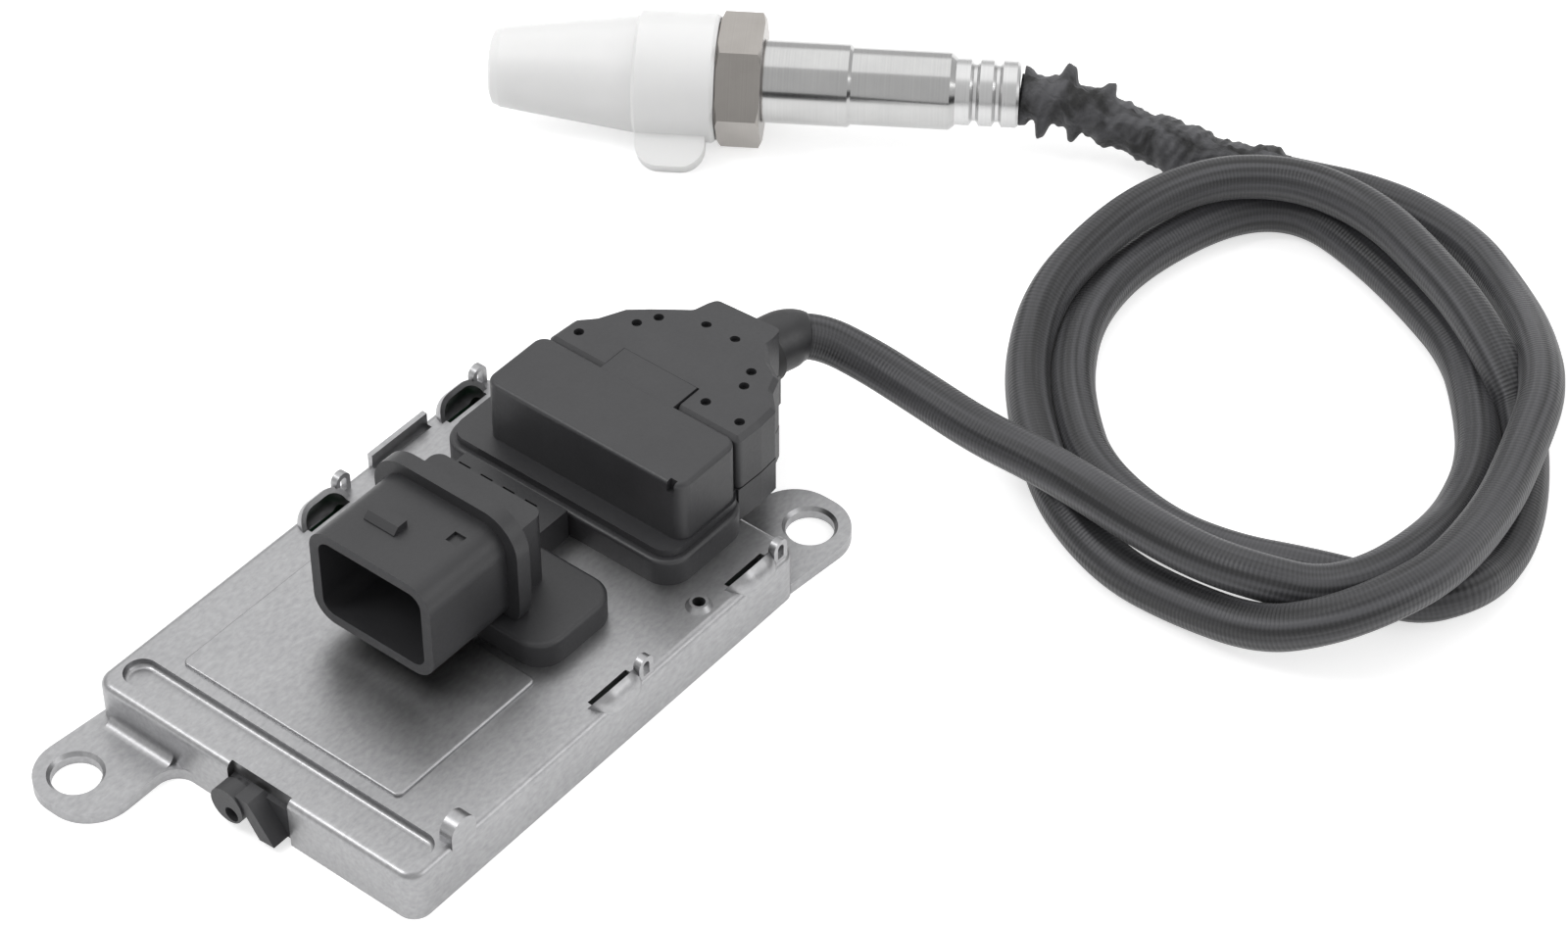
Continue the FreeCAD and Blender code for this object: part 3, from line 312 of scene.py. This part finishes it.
def turnedSteel(name, dark, light, roughness, ringSize=0.25):
    # stainless steel turned on a lathe: faint rings round the probe's axis; sizes in mm, the heading
    # of the axis in degrees from +X
    turned = {"heading": -56.2, "cloud": 5.56, "ringShare": 0.5, "cloudShare": 0.5,
              "smoother": 0.06, "rougher": 0.08}
    heading = np.radians(turned["heading"])
    material, tree, shader = newMaterial(name, {"Metallic": 1.0})
    coords = addNode(tree, "ShaderNodeTexCoord").outputs["Object"]
    along = addNode(tree, "ShaderNodeVectorMath",
                    {"operation": "DOT_PRODUCT", 1: (np.cos(heading), np.sin(heading), 0)}, {0: coords})
    place = addNode(tree, "ShaderNodeCombineXYZ", {}, {"X": along.outputs["Value"]})
    rings = addNode(tree, "ShaderNodeTexNoise", {"Scale": 1 / (ringSize * mm), "Detail": 2.0},
                    {"Vector": place.outputs["Vector"]}).outputs["Fac"]
    cloud = addNode(tree, "ShaderNodeTexNoise", {"Scale": 1 / (turned["cloud"] * mm), "Detail": 4.0},
                    {"Vector": coords}).outputs["Fac"]
    ringPart = addNode(tree, "ShaderNodeMath", {"operation": "MULTIPLY", 1: turned["ringShare"]}, {0: rings})
    tone = addNode(tree, "ShaderNodeMath", {"operation": "MULTIPLY_ADD", 1: turned["cloudShare"]},
                   {0: cloud, 2: ringPart.outputs["Value"]})
    limits = (roughness - turned["smoother"], roughness + turned["rougher"])
    finishShader(tree, shader, tone.outputs["Value"], (dark, light), grain=rings, roughness=limits,
                 height=rings, relief=(0.15, 0.05))
    return material


def braidedJacket():
    # close braid over silicone: fine ribs across the cable, and painted highlight and shade in soft stripes
    # of tone along it;
    # the weave is sin(2 pi x / pitch + threads a) * sin(2 pi x / pitch - threads a), the pitch and the
    # stripe's length in mm, the stripe's width in cable radii
    braid = {"threads": 8, "pitch": 1.5, "lightShadeStreakLength": 55.6, "lightShadeStreakWidth": 0.385,
             "lightShadeStreakTone": (-0.3, 0.85), "weaveTone": 0.45}
    material, tree, shader = newMaterial("braidedJacket", {"Roughness": 0.48, "Sheen Weight": 0.1})
    ownMap = addNode(tree, "ShaderNodeUVMap", {"uv_map": "along"})
    parts = addNode(tree, "ShaderNodeSeparateXYZ", {}, {"Vector": ownMap.outputs["UV"]})
    along = parts.outputs["X"]
    angle = addNode(tree, "ShaderNodeMath", {"operation": "MULTIPLY", 1: 2 * np.pi},
                    {0: parts.outputs["Y"]}).outputs["Value"]
    waves = []
    for threads in (braid["threads"], -braid["threads"]):
        slant = addNode(tree, "ShaderNodeMath", {"operation": "MULTIPLY", 1: threads}, {0: angle})
        phase = addNode(tree, "ShaderNodeMath",
                        {"operation": "MULTIPLY_ADD", 1: 2 * np.pi / (braid["pitch"] * mm)},
                        {0: along, 2: slant.outputs["Value"]})
        waves.append(addNode(tree, "ShaderNodeMath", {"operation": "SINE"}, {0: phase.outputs["Value"]}))
    weave = addNode(tree, "ShaderNodeMath", {"operation": "MULTIPLY"},
                    {0: waves[0].outputs["Value"], 1: waves[1].outputs["Value"]})
    height = addNode(tree, "ShaderNodeMapRange", {"From Min": -1.0, "To Min": 0.0},
                     {"Value": weave.outputs["Value"]}).outputs["Result"]
    across, up = [addNode(tree, "ShaderNodeMath", {"operation": kind}, {0: angle}).outputs["Value"]
                  for kind in ("COSINE", "SINE")]
    place = addNode(tree, "ShaderNodeCombineXYZ", {}, {"X": along, "Y": across, "Z": up})
    size = (braid["lightShadeStreakLength"] * mm, braid["lightShadeStreakWidth"], braid["lightShadeStreakWidth"])
    stretch = addNode(tree, "ShaderNodeMapping", {"Scale": [1 / s for s in size]},
                      {"Vector": place.outputs["Vector"]})
    # painted highlight and shade: the lighter and darker stripes along the cable stand in for the sheen
    # lines of the flattened braid
    lightShadeStreaks = addNode(tree, "ShaderNodeTexNoise", {"Scale": 1.0, "Detail": 3.0},
                      {"Vector": stretch.outputs["Vector"]})
    lightShadeStreakTone = addNode(tree, "ShaderNodeMapRange",
                         {"From Min": 0.3, "From Max": 0.7, "To Min": braid["lightShadeStreakTone"][0],
                          "To Max": braid["lightShadeStreakTone"][1]}, {"Value": lightShadeStreaks.outputs["Fac"]})
    tone = addNode(tree, "ShaderNodeMath", {"operation": "MULTIPLY_ADD", 1: braid["weaveTone"]},
                   {0: height, 2: lightShadeStreakTone.outputs["Result"]})
    finishShader(tree, shader, tone.outputs["Value"], ("#151517", "#48484b"), height=height,
                 relief=(0.6, 0.2))
    return material


def heatTextile():
    # woven heat sleeve, crumpled: dark and dull, with painted light and shade along its folds, and a coarse
    # thread;
    # thread and crease width in mm, the crease's length as a share of the way round
    cloth = {"thread": 0.6, "creaseWidth": 5.88, "creaseLength": 1 / 6, "creaseLightShadeTone": (-0.25, 0.9),
             "threadTone": 0.35}
    material, tree, shader = newMaterial("heatTextile", {"Roughness": 0.7, "Sheen Weight": 0.15})
    coords = addNode(tree, "ShaderNodeTexCoord").outputs["Object"]
    weave = addNode(tree, "ShaderNodeTexNoise", {"Scale": 1 / (cloth["thread"] * mm), "Detail": 3.0},
                    {"Vector": coords})
    ownMap = addNode(tree, "ShaderNodeUVMap", {"uv_map": "along"})
    stretch = addNode(tree, "ShaderNodeMapping",
                      {"Scale": (1 / (cloth["creaseWidth"] * mm), 1 / cloth["creaseLength"], 1)},
                      {"Vector": ownMap.outputs["UV"]})
    # painted light and shade: lighter and darker bands round the sleeve stand in for light on the ridges and
    # shade in the valleys of the folds
    creaseLightShade = addNode(tree, "ShaderNodeTexNoise", {"Scale": 1.0, "Detail": 3.0, "Distortion": 0.8},
                      {"Vector": stretch.outputs["Vector"]})
    creaseLightShadeTone = addNode(tree, "ShaderNodeMapRange",
                         {"From Min": 0.35, "From Max": 0.65, "To Min": cloth["creaseLightShadeTone"][0],
                          "To Max": cloth["creaseLightShadeTone"][1]}, {"Value": creaseLightShade.outputs["Fac"]})
    tone = addNode(tree, "ShaderNodeMath", {"operation": "MULTIPLY_ADD", 1: cloth["threadTone"]},
                   {0: weave.outputs["Fac"], 2: creaseLightShadeTone.outputs["Result"]}).outputs["Value"]
    finishShader(tree, shader, tone, ("#0a0a0b", "#4e4e51"), height=tone, relief=(0.7, 0.4))
    return material


def capPolyethylene():
    # transport cap, moulded of soft polyethylene: milky white, waxy, light passes into it; sizes in mm
    cap = {"cloud": 14.3, "grain": 1.11, "depth": 2.0}
    material, tree, shader = newMaterial("capPolyethylene", {
        "IOR": 1.5, "Subsurface Weight": 0.3, "Subsurface Scale": cap["depth"] * mm,
        "Subsurface Radius": (1.0, 1.0, 1.0), "Transmission Weight": 0.2})
    coords = addNode(tree, "ShaderNodeTexCoord").outputs["Object"]
    cloud = addNode(tree, "ShaderNodeTexNoise", {"Scale": 1 / (cap["cloud"] * mm), "Detail": 3.0},
                    {"Vector": coords})
    grain = addNode(tree, "ShaderNodeTexNoise", {"Scale": 1 / (cap["grain"] * mm), "Detail": 2.0},
                    {"Vector": coords})
    finishShader(tree, shader, cloud.outputs["Fac"], ("#f0f0f0", "#fbfbfa"),
                 grain=grain.outputs["Fac"], roughness=(0.32, 0.44))
    return material


def plainFinish(name, dark, light, roughness, metallic=0.0):
    # pieces inside the case and the probe: one cloudy tone each, the clouds in mm
    plain = {"cloud": 3.33, "uneven": 0.05}
    material, tree, shader = newMaterial(name, {"Metallic": metallic})
    coords = addNode(tree, "ShaderNodeTexCoord").outputs["Object"]
    cloud = addNode(tree, "ShaderNodeTexNoise", {"Scale": 1 / (plain["cloud"] * mm), "Detail": 3.0},
                    {"Vector": coords}).outputs["Fac"]
    limits = (roughness - plain["uneven"], roughness + plain["uneven"])
    finishShader(tree, shader, cloud, (dark, light), grain=cloud, roughness=limits)
    return material


# Finish of each node: material, darker and lighter colour, middle roughness
finishes = {
    "housing_cover": pressedAluminium(),
    "base_plate": plainFinish("rolledAluminium", "#a8a8aa", "#bcbcbd", 0.4, metallic=1.0),
    "connector_header": mouldedPlastic("socketNylon", "#252527", "#2f2f31", 0.46),
    "cable_hood": mouldedPlastic("hoodNylon", "#29292b", "#343436", 0.44),
    "clamp_cover": mouldedPlastic("clampNylon", "#2d2d2f", "#373739", 0.46),
    "edge_clip": mouldedPlastic("clipNylon", "#2c2c2e", "#3a3a3c", 0.5),
    "connector_pins": plainFinish("tinnedCopper", "#9a9a9a", "#c4c4c2", 0.3, metallic=1.0),
    "hood_terminals": plainFinish("tinnedBrass", "#9a9a9a", "#c4c4c2", 0.3, metallic=1.0),
    "cable_grommet": plainFinish("grommetSilicone", "#151516", "#232324", 0.6),
    "wire_grommet": plainFinish("wireSilicone", "#151516", "#232324", 0.6),
    "union_nut": turnedSteel("nutSteel", "#8e8a86", "#b2aeaa", 0.3),
    "probe_body": turnedSteel("bodySteel", "#8a8785", "#aba8a6", 0.3),
    "rear_sleeve": turnedSteel("polishedTube", "#a8a8a8", "#c6c6c5", 0.16, ringSize=0.4),
    "crimp_ferrule": turnedSteel("ferruleSteel", "#b4b4b4", "#dcdcdc", 0.28, ringSize=0.4),
    "protective_cap": capPolyethylene(),
    "outer_protection_tube": turnedSteel("guardSteel", "#8b8683", "#aaa5a1", 0.3),
    "inner_protection_tube": turnedSteel("linerSteel", "#8b8683", "#aaa5a1", 0.3),
    "circuit_board": plainFinish("boardLacquer", "#14502c", "#1c6438", 0.35),
    "controller_chip": plainFinish("chipResin", "#141415", "#1e1e20", 0.5),
    "power_chips": plainFinish("powerResin", "#141415", "#1e1e20", 0.5),
    "heat_pads": plainFinish("padSilicone", "#7d8898", "#909aa8", 0.7),
    "capacitors": plainFinish("canAluminium", "#b4b4b6", "#cacacc", 0.3, metallic=1.0),
    "choke": plainFinish("chokeFerrite", "#262627", "#363637", 0.6),
    "header_seal": plainFinish("sealSilicone", "#84362a", "#9c4434", 0.6),
    "sensing_element": plainFinish("zirconia", "#d8d6cc", "#e6e4da", 0.5),
    "front_bush": plainFinish("frontSteatite", "#dad6ca", "#eae6dc", 0.7),
    "rear_bush": plainFinish("rearSteatite", "#dad6ca", "#eae6dc", 0.7),
    "contact_holder": plainFinish("holderSteatite", "#dad6ca", "#eae6dc", 0.7),
    "talc_packing": plainFinish("pressedTalc", "#c8c6bc", "#d8d6cc", 0.85),
    "contact_springs": plainFinish("springNickel", "#a8a298", "#c0bab0", 0.3, metallic=1.0),
}
for nodeName, finish in finishes.items():
    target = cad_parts[nodeName]
    if not target.material_slots:
        target.data.materials.append(finish)
    for slot in target.material_slots:
        slot.material = finish
cablePiece.data.materials.append(braidedJacket())
sleevePiece.data.materials.append(heatTextile())
bootPiece.data.materials.append(mouldedPlastic("bootNylon", "#1c1c1e", "#2a2a2c", 0.42))
print("materials made")


# Stage: pale floor that keeps the shadow, and shows white to the camera, in metal and through glass
floorSettings = {"halfWidth": 6.0, "colour": "#dcdcdc", "roughness": 0.9, "glow": 0.6}


def stageFloor():
    # one square; its glow is the greatest of the three ray flags times a strength
    half = floorSettings["halfWidth"]
    mesh = bpy.data.meshes.new("floor")
    mesh.from_pydata([(-half, -half, 0), (half, -half, 0), (half, half, 0), (-half, half, 0)], [],
                     [(0, 1, 2, 3)])
    floor = bpy.data.objects.new("floor", mesh)
    bpy.context.scene.collection.objects.link(floor)
    material, tree, shader = newMaterial("paperSweep", {
        "Base Color": hexLinear(floorSettings["colour"]), "Roughness": floorSettings["roughness"],
        "Specular IOR Level": 0.0, "Emission Color": (1, 1, 1, 1)})
    ray = addNode(tree, "ShaderNodeLightPath").outputs
    bounced = addNode(tree, "ShaderNodeMath", {"operation": "MAXIMUM"},
                      {0: ray["Is Glossy Ray"], 1: ray["Is Transmission Ray"]})
    seen = addNode(tree, "ShaderNodeMath", {"operation": "MAXIMUM"},
                   {0: ray["Is Camera Ray"], 1: bounced.outputs["Value"]})
    glow = addNode(tree, "ShaderNodeMath", {"operation": "MULTIPLY", 1: floorSettings["glow"]},
                   {0: seen.outputs["Value"]})
    tree.links.new(glow.outputs["Value"], shader.inputs["Emission Strength"])
    mesh.materials.append(material)


# Lamps: place, target and side of the square in metres, power in watts
lamps = {"overhead": {"place": (0.5, 0.4, 1.2), "target": (0.06, -0.02, 0.0), "size": 1.8, "power": 7.0},
         "side": {"place": (-0.5, 0.5, 1.0), "target": (0.0, 0.0, 0.0), "size": 0.35, "power": 3.5},
         "front": {"place": (0.5, -1.1, 0.7), "target": (0.0, 0.0, 0.0), "size": 0.7, "power": 3.0}}
skyStrength = 0.74


def addLamp(name, lamp):
    # square area lamp that points from its place to its target
    data = bpy.data.lights.new(name, "AREA")
    data.shape = "SQUARE"
    data.size = lamp["size"]
    data.energy = lamp["power"]
    holder = bpy.data.objects.new(name, data)
    bpy.context.scene.collection.objects.link(holder)
    holder.location = lamp["place"]
    aim = Vector(lamp["target"]) - Vector(lamp["place"])
    holder.rotation_euler = aim.to_track_quat("-Z", "Y").to_euler()


stageFloor()
for lampName, lampSettings in lamps.items():
    addLamp(lampName, lampSettings)
world = bpy.data.worlds.new("studio")
bpy.context.scene.world = world
world.use_nodes = True
world.node_tree.nodes["Background"].inputs["Color"].default_value = (1, 1, 1, 1)
world.node_tree.nodes["Background"].inputs["Strength"].default_value = skyStrength
print("stage made")
